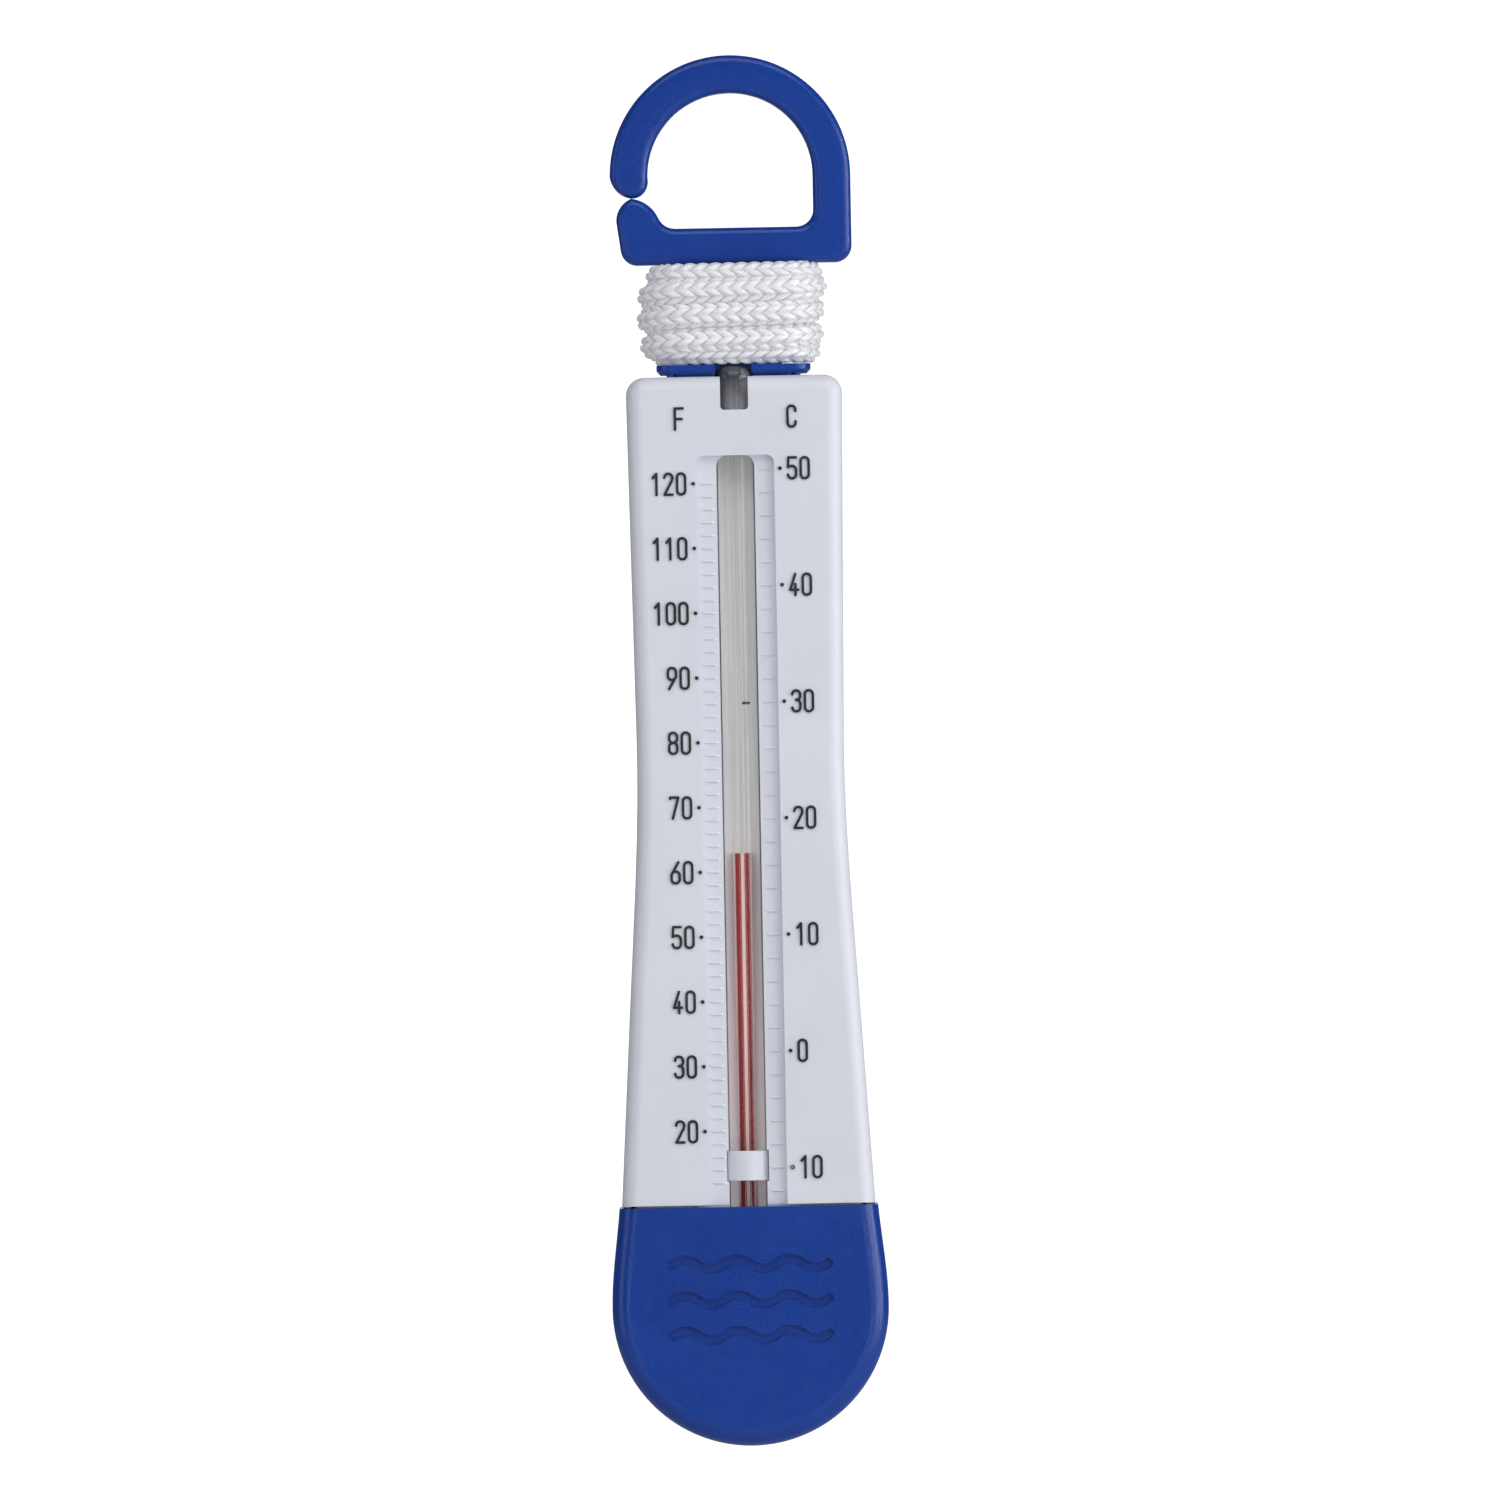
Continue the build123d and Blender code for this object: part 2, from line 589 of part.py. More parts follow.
def cord_end():
    """End of the cord, jammed through the neck under the winding."""
    return Pos(END_HOLE_X, 0, END_HOLE_HEIGHT) * Rot(90, 0, 0) * Cylinder(1.5, 2 * NECK_HALF_DEPTH)


# ---------------------------------------------------------------- printed scale


def arc_points(centre, radius, start, end, count=9):
    """Points along a round stroke, between two angles in degrees."""
    points = []
    for index in range(count):
        angle = math.radians(start + (end - start) * index / (count - 1))
        points.append((centre[0] + radius * math.cos(angle), centre[1] + radius * math.sin(angle)))
    return points


W = DIGIT_WIDTH - STROKE
H = DIGIT_HEIGHT - STROKE
R = W / 2
RING = 1.42


def bowl(low, high):
    """A closed loop of stroke, flat-sided with round ends."""
    return ("ring", low, high)


def glyph_strokes(sign):
    """The strokes of one numeral or unit letter, drawn in a box W wide and H high."""
    top_arc = arc_points((R, H - R), R, 180, 0)
    bottom_arc = arc_points((R, R), R, 0, -180)
    lower_bowl_arc = arc_points((R, R + 0.55), R, 110, 0, 6) + bottom_arc
    shapes = {
        "0": [bowl(0, H)],
        "1": [[(0.12, H - 0.5), (0.55, H), (0.55, 0)]],
        "2": [top_arc + arc_points((0, H - R), W, 0, -32, 4)[1:] + [(0, 0), (W, 0)]],
        "3": [
            top_arc + arc_points((R, H - R - 0.2), R, 0, -90, 5),
            arc_points((R, R + 0.46), R, 90, 0, 5) + bottom_arc,
        ],
        "4": [[(0.62, H), (0, 0.62), (W, 0.62)], [(0.62, 1.3), (0.62, 0)]],
        "5": [[(W, H), (0.06, H), (0, H * 0.54)] + lower_bowl_arc],
        "6": [bowl(0, RING), [(W - 0.12, H), (0.0, RING - R + 0.1)]],
        "7": [[(0, H - 0.15), (0, H), (W, H), (0.28, 0)]],
        "8": [bowl(0, RING - 0.1), bowl(RING - 0.1, H)],
        "9": [bowl(H - RING, H), [(0.12, 0), (W, H - RING + R - 0.1)]],
        "F": [[(W, H), (0, H), (0, 0)], [(0, H * 0.5), (W - 0.14, H * 0.5)]],
        "C": [[(W, H - R - 0.15)] + top_arc[::-1] + bottom_arc[::-1] + [(W, R + 0.15)]],
    }
    return shapes[sign]


def stroke_face(stroke):
    """The flat shape of one stroke of the pen."""
    if stroke[0] == "ring":
        low, high = stroke[1], stroke[2]
        middle = Pos(R, (low + high) / 2)
        outside = RectangleRounded(W + STROKE, high - low + STROKE, R + STROKE / 2 - 0.001)
        inside = RectangleRounded(W - STROKE, high - low - STROKE, R - STROKE / 2 - 0.001)
        return middle * (outside - inside)
    wire = Wire.make_polygon([Vector(x, y) for x, y in stroke], close=False)
    return Face(wire.offset_2d(STROKE / 2, kind=Kind.ARC, side=Side.BOTH, closed=True))


def glyph(sign):
    """One raised numeral or letter, its lower left corner at the origin."""
    strokes = [slab(stroke_face(stroke), -PRINT_RISE, 0) for stroke in glyph_strokes(sign)]
    solid = strokes[0]
    for extra in strokes[1:]:
        solid = solid + extra
    return Pos(STROKE / 2, 0, STROKE / 2) * solid


GLYPHS = {sign: glyph(sign) for sign in "0123456789FC"}


def label(text, left, height):
    """A raised number, level with a given height and starting at a given x."""
    low = height - DIGIT_HEIGHT / 2
    signs = []
    for index, sign in enumerate(text):
        place = Pos(left + index * DIGIT_PITCH, -CASE_HALF_DEPTH, low)
        signs += [place * solid for solid in GLYPHS[sign].solids()]
    return signs


def dot(x, height, radius):
    """A raised dot beside a number."""
    return Pos(x, -CASE_HALF_DEPTH - PRINT_RISE / 2, height) * Rot(90, 0, 0) * Cylinder(radius, PRINT_RISE)


def fahrenheit_print():
    """Inked numbers from 20 to 120 down the left, right-aligned on their dots."""
    pieces = label("F", -7.2, 121.9)
    for value in range(20, 121, 10):
        height = F_20_HEIGHT + (value - 20) * F_DEGREE
        text = str(value)
        width = DIGIT_WIDTH + (len(text) - 1) * DIGIT_PITCH
        pieces += label(text, F_DOT_X - DOT_TO_NUMBER - width, height)
        pieces.append(dot(F_DOT_X, height, DOT_RADIUS))
    return Compound(children=pieces)


def celsius_print():
    """Inked numbers from -10 to 50 down the right; the lowest dot is left open, for below zero."""
    pieces = label("C", 6.15, 122.0)
    for value in range(-10, 51, 10):
        height = C_MINUS_10_HEIGHT + (value + 10) * C_DEGREE
        pieces += label(str(abs(value)), C_DOT_X + DOT_TO_NUMBER, height)
        if value < 0:
            pieces.append(dot(C_DOT_X, height, OPEN_DOT_RADIUS) - dot(C_DOT_X, height, OPEN_DOT_HOLE))
        else:
            pieces.append(dot(C_DOT_X, height, DOT_RADIUS))
    return Compound(children=pieces)


# ---------------------------------------------------------------- all pieces

save("front_shell", front_shell())
save("rear_shell", rear_shell())
save("base_cap", base_cap())
save("ballast_plate", ballast_plate())
save("ballast_washers", ballast_washers())
save("bulb_cushion", bulb_cushion())
save("glass_stem", glass_stem())
save("bulb_spirit", bulb_spirit())
save("spirit_column", spirit_column())
save("tube_strap", tube_strap())
save("tube_pads", tube_pads())
save("float_foam_left", float_foam(-1))
save("float_foam_right", float_foam(1))
save("clip_arm", clip_arm())
save("clip_frame", clip_frame())
save("cord_winding", cord_winding())
save("cord_tail", cord_tail())
save("cord_knot", cord_knot())
save("cord_end", cord_end())
save("fahrenheit_print", fahrenheit_print())
save("celsius_print", celsius_print())
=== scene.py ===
import math

import bpy
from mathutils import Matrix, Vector


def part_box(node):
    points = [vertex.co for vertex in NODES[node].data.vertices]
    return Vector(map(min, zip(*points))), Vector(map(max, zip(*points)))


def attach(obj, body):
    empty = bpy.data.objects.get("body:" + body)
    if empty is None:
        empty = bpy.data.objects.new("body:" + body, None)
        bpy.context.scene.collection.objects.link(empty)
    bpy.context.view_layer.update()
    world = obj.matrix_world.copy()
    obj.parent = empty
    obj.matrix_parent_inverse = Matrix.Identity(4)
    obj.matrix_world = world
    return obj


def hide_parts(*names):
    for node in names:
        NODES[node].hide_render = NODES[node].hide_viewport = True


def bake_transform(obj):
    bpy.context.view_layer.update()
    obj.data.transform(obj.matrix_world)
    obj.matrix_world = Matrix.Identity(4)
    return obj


# Looks for the floating pool thermometer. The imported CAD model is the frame. A wound cord, its knot,
# the glass tube, the spirit in it and the springy bow of the clip are made here, and take the place of
# their CAD solids. The strip behind the tube's bore and the tube's sealed end are made here too.
# Sizes in millimetres are turned into metres by MM. "Height" counts up from the
# bottom of the cap, as in the part's source; the frame's own origin is in the middle of the clip's eye.

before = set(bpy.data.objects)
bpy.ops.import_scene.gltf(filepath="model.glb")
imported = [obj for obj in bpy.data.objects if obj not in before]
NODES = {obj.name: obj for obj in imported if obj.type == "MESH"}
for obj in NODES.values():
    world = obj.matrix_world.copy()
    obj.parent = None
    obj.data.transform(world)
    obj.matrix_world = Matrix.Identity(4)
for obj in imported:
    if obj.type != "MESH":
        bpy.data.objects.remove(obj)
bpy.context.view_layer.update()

MM = 0.001
EYE_HEIGHT = 150.8


def at(x, y, height):
    """A point in the frame, from millimetres across, front to back, and up from the cap's bottom."""
    return Vector((x, y, height - EYE_HEIGHT)) * MM


# ---------------------------------------------------------------- camera

CAMERA_LEAN = math.radians(1.053)
CAMERA_PLACE = Vector((0.00113, -2.9715, -0.06828))


def make_camera():
    """A long lens straight in front, turned a little so that the object leans as in the photograph."""
    data = bpy.data.cameras.new("camera")
    data.lens = 600
    data.sensor_width = 36
    data.clip_start = 0.05
    data.clip_end = 20
    camera = bpy.data.objects.new("camera", data)
    bpy.context.scene.collection.objects.link(camera)
    camera.location = CAMERA_PLACE
    camera.rotation_mode = "XYZ"
    camera.rotation_euler = (math.radians(90), CAMERA_LEAN, 0)
    bpy.context.scene.camera = camera
    bpy.context.view_layer.update()


make_camera()

# ---------------------------------------------------------------- node materials


class Look:
    """A node material: a Principled shader, and short ways to add and join nodes."""

    def __init__(self, name):
        self.material = bpy.data.materials.new(name)
        self.material.use_nodes = True
        self.tree = self.material.node_tree
        self.shader = self.tree.nodes["Principled BSDF"]
        place = self.tree.nodes.new("ShaderNodeTexCoord")
        self.object_place = place.outputs["Object"]
        self.uv = place.outputs["UV"]

    def set(self, **values):
        """Set constant inputs of the shader; an underscore in a name stands for a space."""
        for name, value in values.items():
            self.shader.inputs[name.replace("_", " ")].default_value = value

    def node(self, kind, **inputs):
        """Add a node. Inputs that are sockets are joined, the others are set."""
        made = self.tree.nodes.new("ShaderNode" + kind)
        for name, value in inputs.items():
            socket = made.inputs[name.replace("_", " ")]
            if isinstance(value, bpy.types.NodeSocket):
                self.tree.links.new(value, socket)
            else:
                socket.default_value = value
        return made

    def noise(self, scale, detail=2.0, place=None, roughness=0.5):
        """Noise with so many features a metre."""
        made = self.node("TexNoise", Scale=scale, Detail=detail, Roughness=roughness)
        self.tree.links.new(place or self.object_place, made.inputs["Vector"])
        return made.outputs["Fac"]

    def ramp(self, value, stops, smooth=False):
        """Turn a number into a colour or another number, through (position, colour) stops."""
        made = self.node("ValToRGB", Fac=value)
        ramp = made.color_ramp
        ramp.interpolation = "EASE" if smooth else "LINEAR"
        while len(ramp.elements) < len(stops):
            ramp.elements.new(0.5)
        for element, (position, colour) in zip(ramp.elements, stops):
            element.position = position
            element.color = grey(colour) if isinstance(colour, float) else (*colour, 1.0)
        return made.outputs["Color"]

    def math(self, operation, first, second=0.0):
        """One step of arithmetic."""
        made = self.tree.nodes.new("ShaderNodeMath")
        made.operation = operation
        for socket, value in zip(made.inputs, (first, second)):
            if isinstance(value, bpy.types.NodeSocket):
                self.tree.links.new(value, socket)
            else:
                socket.default_value = value
        return made.outputs[0]

    def mix(self, share, first, second):
        """Blend two colours."""
        made = self.tree.nodes.new("ShaderNodeMix")
        made.data_type = "RGBA"
        pairs = ((made.inputs[0], share), (made.inputs[6], first), (made.inputs[7], second))
        for socket, value in pairs:
            if isinstance(value, bpy.types.NodeSocket):
                self.tree.links.new(value, socket)
            else:
                socket.default_value = value if socket is made.inputs[0] else (*value, 1.0)
        return made.outputs[2]

    def to(self, name, output):
        """Join an output to an input of the shader."""
        self.tree.links.new(output, self.shader.inputs[name.replace("_", " ")])

    def bump(self, height, depth, strength=1.0):
        """Give the surface relief, depth in metres."""
        made = self.node("Bump", Height=height, Distance=depth, Strength=strength)
        self.to("Normal", made.outputs["Normal"])
        return made


def grey(value):
    """An opaque grey."""
    return (value, value, value, 1.0)


def linear(red, green, blue):
    """A colour given as 0 to 255 in the usual screen coding, as the shader's own linear values."""
    return tuple((channel / 255) ** 2.2 for channel in (red, green, blue))


def moulded(name, base, light, roughness, grain=0.00001, shine=0.5, metal=0.0):
    """Moulded plastic: a faint cloudiness, fine grain and a slightly uneven gloss."""
    look = Look(name)
    cloud = look.noise(90, detail=3.0)
    look.to("Base Color", look.ramp(cloud, [(0.3, base), (0.7, light)]))
    gloss = look.noise(420, detail=3.0)
    low = roughness - 0.05
    look.to("Roughness", look.ramp(gloss, [(0.3, low), (0.7, roughness + 0.05)]))
    look.bump(look.noise(5200, detail=2.0), grain)
    look.set(IOR=1.5, Specular_IOR_Level=shine, Metallic=metal)
    return look.material


WHITE = moulded("white_plastic", linear(222, 225, 235), linear(227, 230, 240), 0.42)
BLUE = moulded("blue_plastic", linear(15, 59, 146), linear(18, 64, 154), 0.2, grain=0.00003, shine=0.42)
INK = moulded("black_ink", linear(23, 24, 29), linear(40, 40, 46), 0.45)
STEEL = moulded("steel", linear(120, 122, 125), linear(150, 151, 153), 0.35, metal=1.0)
RUBBER = moulded("soft_rubber", linear(70, 70, 72), linear(86, 86, 88), 0.7)
FOAM = moulded("soft_foam", linear(225, 226, 224), linear(236, 236, 234), 0.9)


def paint(material, *nodes):
    """Give CAD nodes a material."""
    for node in nodes:
        NODES[node].data.materials.clear()
        NODES[node].data.materials.append(material)


paint(WHITE, "front_shell", "rear_shell", "tube_strap")
paint(BLUE, "clip_frame", "base_cap", "clip_arm")
paint(INK, "fahrenheit_print", "celsius_print")
paint(STEEL, "ballast_plate", "ballast_washers")
paint(RUBBER, "bulb_cushion", "tube_pads")
paint(FOAM, "float_foam_left", "float_foam_right")


# ---------------------------------------------------------------- mesh helpers


def mesh_piece(name, points, faces, material, smooth=True, crease=None):
    """An object from points in metres and faces; edges that bend more than the crease stay sharp."""
    data = bpy.data.meshes.new(name)
    data.from_pydata([tuple(point) for point in points], [], faces)
    data.update()
    if smooth:
        data.shade_smooth()
    if crease is not None:
        data.set_sharp_from_angle(angle=math.radians(crease))
    data.materials.append(material)
    piece = bpy.data.objects.new(name, data)
    bpy.context.scene.collection.objects.link(piece)
    return piece


def grid_faces(rows, columns):
    """Quads between rows of points that each close on themselves."""
    faces = []
    for row in range(rows - 1):
        for column in range(columns):
            beside = (column + 1) % columns
            faces.append((
                row * columns + column,
                row * columns + beside,
                (row + 1) * columns + beside,
                (row + 1) * columns + column,
            ))
    return faces


# ---------------------------------------------------------------- cord

STITCH = 1.54
BRAID_COLUMNS = 8
STITCH_LEAN = 0.78
TURN_POINTS = 16
CORE_X = 4.8
CORE_Y = 1.0
CORNER_EASE = 0.02
FIRST_TURN = 0.1
LAST_TURN_EXTRA = 0.12
BRAID_CORE = 1.04
BRAID_RELIEF = 0.54
COLUMN_EDGE_FULLNESS = 0.3
TAPER_LENGTH = 0.8

# Where the cord lies: turns counted clockwise from the back, height, and half width of its line.
INNER_LAYER = [
    (0.0, 130.2, 7.0),
    (0.5, 131.3, 7.3),
    (1.5, 133.6, 7.3),
    (2.5, 136.3, 7.3),
    (3.5, 138.3, 7.6),
]
OUTER_LAYER = [
    (4.0, 138.9, 8.8),
    (4.25, 139.0, 9.5),
    (4.75, 138.8, 8.8),
    (5.25, 137.5, 9.9),
    (5.75, 136.5, 9.9),
    (6.25, 134.8, 9.6),
    (6.75, 133.8, 10.05),
    (7.25, 131.8, 9.4),
    (7.75, 130.7, 9.7),
    (8.25, 129.9, 9.0),
    (8.75, 129.8, 8.5),
]


def softened(value):
    """-1 to 1, changing quickly but smoothly at 0."""
    return value / math.sqrt(value * value + CORNER_EASE)


def winding_point(turn, height, half_width):
    """A point of the winding's line: a rounded rectangle round the neck."""
    angle = 2 * math.pi * turn
    radius = half_width - CORE_X
    x = CORE_X * softened(math.sin(angle)) + radius * math.sin(angle)
    y = CORE_Y * softened(math.cos(angle)) + radius * math.cos(angle)
    return at(x, y, height)


def between(keys, turn):
    """Height and half width at a turn, eased between the nearest keys."""
    for (start, low, near), (end, high, far) in zip(keys, keys[1:]):
        if start <= turn <= end:
            share = (turn - start) / (end - start)
            return low + (high - low) * share, near + (far - near) * share
    return keys[-1][1:]


def cord_route():
    """The cord's control points, from its knot in the case to the hole in the neck where it ends."""
    tail = [at(0, 4.9, 113.6), at(0, 4.9, 117), at(0, 4.9, 121), at(0, 4.9, 125), at(0.1, 4.9, 127.8)]
    lead_in = [at(-0.8, 5.0, 129.3), at(-2.6, 5.0, 129.8)]
    keys = INNER_LAYER + OUTER_LAYER
    last_turn = keys[-1][0]
    count = int((last_turn - FIRST_TURN) * TURN_POINTS)
    span = last_turn + LAST_TURN_EXTRA - FIRST_TURN
    wound = []
    for index in range(count + 1):
        turn = FIRST_TURN + span * index / count
        wound.append(winding_point(turn, *between(keys, min(turn, last_turn))))
    turn_in = [at(4.9, 2.95, 130.0), at(3.8, 2.4, 129.95), at(3.4, 1.1, 129.9)]
    end = [at(3.4, -0.3, 129.9), at(3.4, -1.6, 129.9)]
    return tail + lead_in + wound[::-1] + turn_in + end


def route_line(name, route):
    """The points of the smooth curve that a route's points control."""
    data = bpy.data.curves.new(name, "CURVE")
    data.dimensions = "3D"
    data.resolution_u = 24
    spline = data.splines.new("NURBS")
    spline.points.add(len(route) - 1)
    for point, place in zip(spline.points, route):
        point.co = (*place, 1.0)
    spline.order_u = 3
    spline.use_endpoint_u = True
    holder = bpy.data.objects.new(name, data)
    bpy.context.scene.collection.objects.link(holder)
    bpy.context.view_layer.update()
    line = bpy.data.meshes.new_from_object(holder)
    points = [vertex.co.copy() for vertex in line.vertices]
    bpy.data.objects.remove(holder)
    bpy.data.curves.remove(data)
    bpy.data.meshes.remove(line)
    return points


def even_points(points, spacing):
    """Points a fixed distance apart along a line, with the distance of each from its start."""
    reach = [0.0]
    for first, second in zip(points, points[1:]):
        reach.append(reach[-1] + (second - first).length)
    count = round(reach[-1] / spacing)
    made = []
    piece = 0
    for index in range(count + 1):
        distance = reach[-1] * index / count
        while piece < len(points) - 2 and reach[piece + 1] < distance:
            piece += 1
        share = (distance - reach[piece]) / max(reach[piece + 1] - reach[piece], 1e-9)
        made.append((points[piece].lerp(points[piece + 1], share), distance))
    return made


def braid_radius(distance, around):
    """Radius of the braid: plump stitches that lean one way and the other in turn, column by column."""
    column = around * BRAID_COLUMNS
    across = column % 1.0
    lean = STITCH_LEAN if int(column) % 2 == 0 else -STITCH_LEAN
    phase = distance / (STITCH * MM) + lean * (across - 0.5)
    along = 2 * (phase % 1.0) - 1
    stitch = math.sqrt(max(0.0, 1 - along ** 2))
    crown = math.sqrt(max(0.0, 1 - (2 * across - 1) ** 2))
    fullness = stitch * (COLUMN_EDGE_FULLNESS + (1 - COLUMN_EDGE_FULLNESS) * crown)
    return (BRAID_CORE + BRAID_RELIEF * fullness) * MM


def braided_tube(name, line, material, spacing=0.00013, around=40, size=1.0):
    """A braided cord along a line. Its ends are closed with a rounded cap."""
    ringed = even_points(line, spacing)
    points = []
    shares = []
    up = Vector((0, 0, 1))
    last = len(ringed) - 1
    side = None
    for index, (place, distance) in enumerate(ringed):
        before = ringed[max(index - 1, 0)][0]
        after = ringed[min(index + 1, last)][0]
        along = (after - before).normalized()
        if side is None:
            side = along.cross(up)
            if side.length < 0.1:
                side = along.cross(Vector((0, 1, 0)))
        side = (side - along * side.dot(along)).normalized()
        other = along.cross(side)
        from_end = min(distance, ringed[last][1] - distance)
        taper = math.sqrt(min(1.0, (from_end + 0.05 * MM) / (TAPER_LENGTH * MM)))
        for step in range(around):
            angle = 2 * math.pi * step / around
            radius = braid_radius(distance, step / around) * size * taper
            points.append(place + (side * math.cos(angle) + other * math.sin(angle)) * radius)
            shares.append((distance, step / around))
    faces = grid_faces(len(ringed), around)
    faces.append(tuple(reversed(range(around))))
    faces.append(tuple(range(last * around, (last + 1) * around)))
    piece = mesh_piece(name, points, faces, material)
    layer = piece.data.uv_layers.new(name="along_and_around")
    for loop in piece.data.loops:
        distance, share = shares[loop.vertex_index]
        layer.data[loop.index].uv = (distance / (STITCH * MM), share)
    return piece


def cord_material():
    """Shiny white braided yarn: fine fibres along each stitch, painted shade that darkens the gaps between
    stitches, and a faint painted glow that stands in for light through the yarn.
    """
    look = Look("braided_cord")
    place = look.node("SeparateXYZ", Vector=look.uv)
    column = look.math("MULTIPLY", place.outputs["Y"], BRAID_COLUMNS)
    across = look.math("FRACT", column)
    odd = look.math("MODULO", look.math("FLOOR", column), 2.0)
    lean = look.math("SUBTRACT", STITCH_LEAN, look.math("MULTIPLY", odd, 2 * STITCH_LEAN))
    slope = look.math("MULTIPLY", lean, look.math("SUBTRACT", across, 0.5))
    phase = look.math("ADD", place.outputs["X"], slope)
    from_middle = look.math("ABSOLUTE", look.math("SUBTRACT", look.math("FRACT", phase), 0.5))
    fibre_place = look.node("CombineXYZ", X=phase, Y=look.math("MULTIPLY", across, 0.06), Z=column)
    fibres = look.noise(9.0, detail=2.0, place=fibre_place.outputs["Vector"])
    yarn = look.ramp(fibres, [(0.3, linear(208, 208, 214)), (0.7, linear(243, 243, 246))])
    # Painted shade: the gaps between stitches are darkened towards grey.
    painted_gap_shade = look.ramp(from_middle, [(0.36, 0.0), (0.5, 0.5)])
    look.to("Base Color", look.mix(painted_gap_shade, yarn, linear(112, 113, 122)))
    look.set(Roughness=0.19, IOR=1.55, Specular_IOR_Level=0.9)
    look.set(Subsurface_Weight=0.5, Subsurface_Scale=0.001, Subsurface_Radius=(1.0, 1.0, 1.0))
    # Painted glow standing in for light through the yarn.
    look.set(Emission_Color=(0.97, 0.97, 1.0, 1.0), Emission_Strength=0.13)
    look.bump(fibres, 0.00006)
    return look.material


CORD = cord_material()
ROUTE = cord_route()
LINE = route_line("cord_line", ROUTE)
cord = braided_tube("cord", LINE, CORD)
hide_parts("cord_winding", "cord_tail", "cord_end")
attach(cord, "clip")


KNOT_POINTS = 24
KNOT_Y = 4.8
KNOT_HEIGHT = 112.0
KNOT_LOOP = 0.72
KNOT_WIDE, KNOT_DEEP, KNOT_TALL = 0.52, 0.6, 0.62


def knot_route():
    """A tight overhand knot just under the cord's tail."""
    points = []
    for index in range(KNOT_POINTS):
        angle = 2 * math.pi * (index + 0.5) / KNOT_POINTS
        x = KNOT_LOOP * (math.sin(angle) + 2 * math.sin(2 * angle)) * KNOT_WIDE
        z = KNOT_LOOP * (math.cos(angle) - 2 * math.cos(2 * angle)) * KNOT_TALL
        y = -KNOT_LOOP * math.sin(3 * angle) * KNOT_DEEP
        points.append(at(x, KNOT_Y + y, KNOT_HEIGHT + z))
    return points


knot = braided_tube("cord_knot_tied", route_line("knot_line", knot_route()), CORD, around=32, size=0.5)
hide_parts("cord_knot")
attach(knot, "clip")


# ---------------------------------------------------------------- glass tube and spirit

TUBE_Y = -4.4
TUBE_RADIUS = 2.1
TUBE_TOP = 128.1
SEAL_BOTTOM = 119.2
BULB_RADIUS = 2.2
BULB_BOTTOM = 11.0
BULB_TOP = 26.0
BULB_ROUND = 2.1
TUBE_ROUND = 1.4
AXIS_GAP = 0.001
CREASE = 50
SPIRIT_RADIUS = 0.76


def turned(name, outline, material, around=64, crease=None):
    """A round piece about the tube's axis, from (radius, height) pairs."""
    points = []
    for radius, height in outline:
        for step in range(around):
            angle = 2 * math.pi * step / around
            points.append(at(radius * math.cos(angle), TUBE_Y + radius * math.sin(angle), height))
    return mesh_piece(name, points, grid_faces(len(outline), around), material, crease=crease)


def rounded_end(radius, height, corner, direction, steps=8):
    """(radius, height) pairs of a rounded end, from its middle out to its side."""
    made = [(AXIS_GAP, height)]
    for index in range(steps + 1):
        angle = math.pi / 2 * index / steps
        made.append((
            radius - corner + corner * math.sin(angle),
            height - direction * (corner - corner * math.cos(angle)),
        ))
    return made


def glass_material():
    """Clear glass with a few faint smears."""
    look = Look("clear_glass")
    look.set(Base_Color=(0.97, 0.985, 0.98, 1.0), IOR=1.47, Transmission_Weight=1.0)
    smear = look.noise(260, detail=4.0)
    look.to("Roughness", look.ramp(smear, [(0.45, 0.01), (0.8, 0.06)]))
    return look.material


def opal_material():
    """White strip behind the bore, with a setting mark. It has a painted glow, as if light came through,
    strongest at its foot; it is painted pinker and brighter towards its foot; it has painted shade down
    its right half; and it has streaks of darker grey up it.
    """
    look = Look("opal_backing")
    place = look.node("SeparateXYZ", Vector=look.object_place)
    height = place.outputs["Z"]
    above_foot = look.math("SUBTRACT", height, at(0, 0, OPAL_BOTTOM).z)
    rise = look.math("MULTIPLY", above_foot, 1 / OPAL_RAMP_LENGTH)
    # Painted light by height: pinker and brighter towards the foot, greyer higher up.
    shade = look.ramp(rise, [(0.1, linear(250, 240, 242)), (0.75, linear(228, 230, 226))])
    drawn = look.math("MULTIPLY", height, STREAK_SQUEEZE)
    streak_place = look.node("CombineXYZ", X=place.outputs["X"], Y=0.0, Z=drawn).outputs["Vector"]
    streak_noise = look.noise(2600, detail=3.0, place=streak_place)
    streaks = look.ramp(streak_noise, [(0.35, 0.0), (0.65, 0.24)])
    rightwards = look.math("MULTIPLY_ADD", place.outputs["X"], 1 / (2 * OPAL_HALF * MM))
    rightwards.node.inputs[2].default_value = 0.5
    # Painted shadow: the right half of the strip is darkened, more towards its right edge.
    shadow = look.ramp(rightwards, [(0.4, 0.04), (0.43, 0.0), (0.46, 0.14), (0.9, 0.22)])
    streaked = look.mix(look.math("ADD", streaks, shadow), shade, linear(140, 140, 138))
    above = look.math("ABSOLUTE", look.math("SUBTRACT", height, at(0, 0, MARK_HEIGHT).z))
    beside = look.math("ABSOLUTE", look.math("SUBTRACT", place.outputs["X"], MARK_X * MM))
    level = look.math("LESS_THAN", above, MARK_HALF_HEIGHT * MM)
    marked = look.math("MULTIPLY", level, look.math("LESS_THAN", beside, MARK_HALF_WIDTH * MM))
    look.to("Base Color", look.mix(marked, streaked, linear(40, 40, 42)))
    # Painted glow standing in for light through the strip: strongest at the foot, weakest in the middle,
    # stronger again near the top.
    glow_low = (0.13, 0.124, 0.128)
    glow_middle = (0.025, 0.024, 0.026)
    glow_high = (0.09, 0.082, 0.088)
    look.to("Emission Color", look.ramp(rise, [(0.1, glow_low), (0.6, glow_middle), (0.9, glow_high)]))
    look.set(Roughness=0.5, Emission_Strength=1.0)
    return look.material


